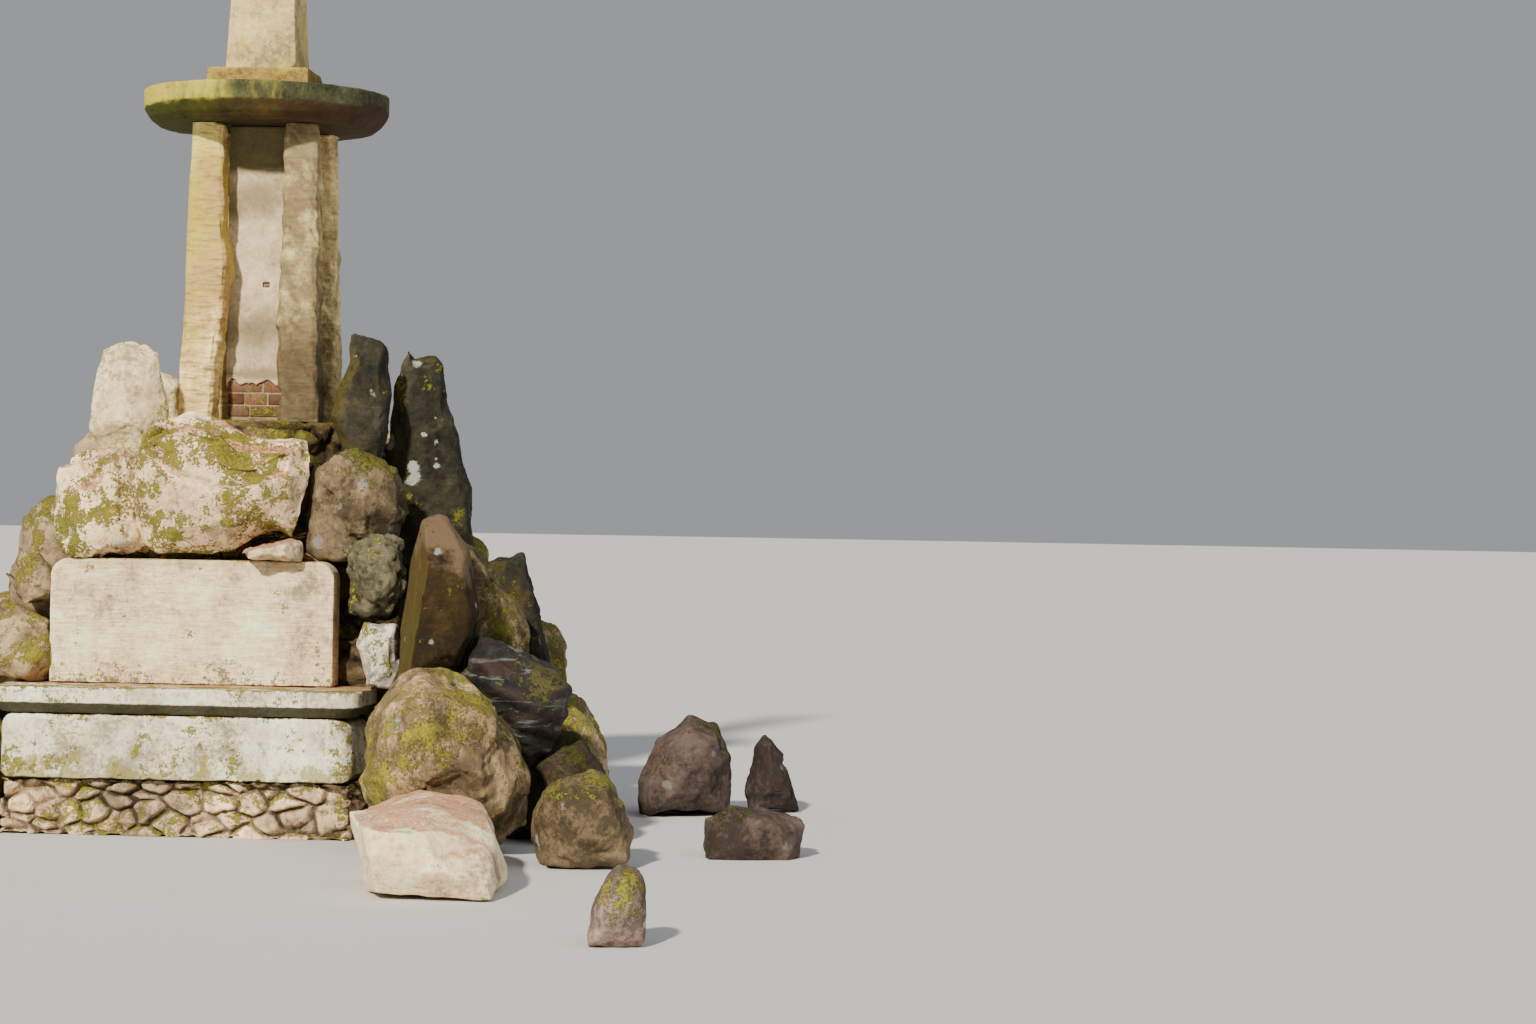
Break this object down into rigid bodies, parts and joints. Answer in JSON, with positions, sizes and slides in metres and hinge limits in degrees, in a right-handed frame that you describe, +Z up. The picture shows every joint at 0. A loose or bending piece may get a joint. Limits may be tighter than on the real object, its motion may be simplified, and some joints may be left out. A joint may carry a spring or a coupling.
{
  "type": "obelisk on a boulder mound with a stone bench",
  "caption": "Tapered stone obelisk on a round slab carried by rough pillars round a rendered brick pier, on a mound of boulders with a stone bench in front.",
  "frame": {"origin": "on the ground, under the middle of the obelisk shaft", "axes": "+X to the right seen from the bench side, +Y to the back, +Z up"},
  "size_m": [5.7086, 8.0607, 6.925],
  "materials": {
    "shaft_stone": "weathered sandstone, grey-brown with yellow lichen",
    "table_stone": "weathered stone with green and yellow lichen",
    "pillar_stone": "rough-hewn sandstone with tool ripples",
    "render": "smooth weathered lime render with grey stains",
    "brick": "weathered red brick with lime joints",
    "bench_stone": "pale grey stone with lichen and moss",
    "backrest_stone": "pinkish beige dressed sandstone",
    "boulder_stone": "pinkish beige and grey field boulders",
    "mossy_stone": "boulders under yellow-green moss",
    "dark_stone": "dark grey-brown stone with pale lichen",
    "rubble_fill": "earth and rubble between the boulders"
  },
  "bodies": {
    "root": {"rubble_core": "rubble_fill", "bench_footing_stones": "boulder_stone", "bench_block": "bench_stone", "bench_seat": "bench_stone", "bench_backrest": "backrest_stone", "brick_pier": "brick", "pier_render": "render", "pillar_front_left": "pillar_stone", "pillar_front_right": "pillar_stone", "pillar_back_left": "pillar_stone", "pillar_back_right": "pillar_stone", "round_slab": "table_stone", "plinth": "shaft_stone", "shaft": "shaft_stone", "crown_boulder": "mossy_stone", "wedge_stone": "boulder_stone", "left_shoulder_boulder": "boulder_stone", "right_shoulder_boulder": "boulder_stone", "standing_stone_left": "boulder_stone", "standing_stone_left_rear": "boulder_stone", "standing_stone_right": "dark_stone", "standing_stone_right_rear": "dark_stone", "pointed_boulder": "boulder_stone", "grey_rubble_stone": "boulder_stone", "marbled_stone": "boulder_stone", "flank_boulder": "mossy_stone", "far_flank_boulder": "dark_stone", "layered_boulder": "dark_stone", "large_mossy_boulder": "mossy_stone", "reddish_boulder": "boulder_stone", "lower_right_boulder": "boulder_stone", "flat_front_boulder": "boulder_stone", "outlying_stones": "boulder_stone", "bench_left_boulders": "boulder_stone", "back_boulders_low": "boulder_stone", "left_boulders_low": "boulder_stone", "back_boulders_middle": "boulder_stone", "left_boulders_middle": "boulder_stone", "back_boulders_high": "boulder_stone", "back_boulders_top": "boulder_stone"}
  },
  "joints": []
}
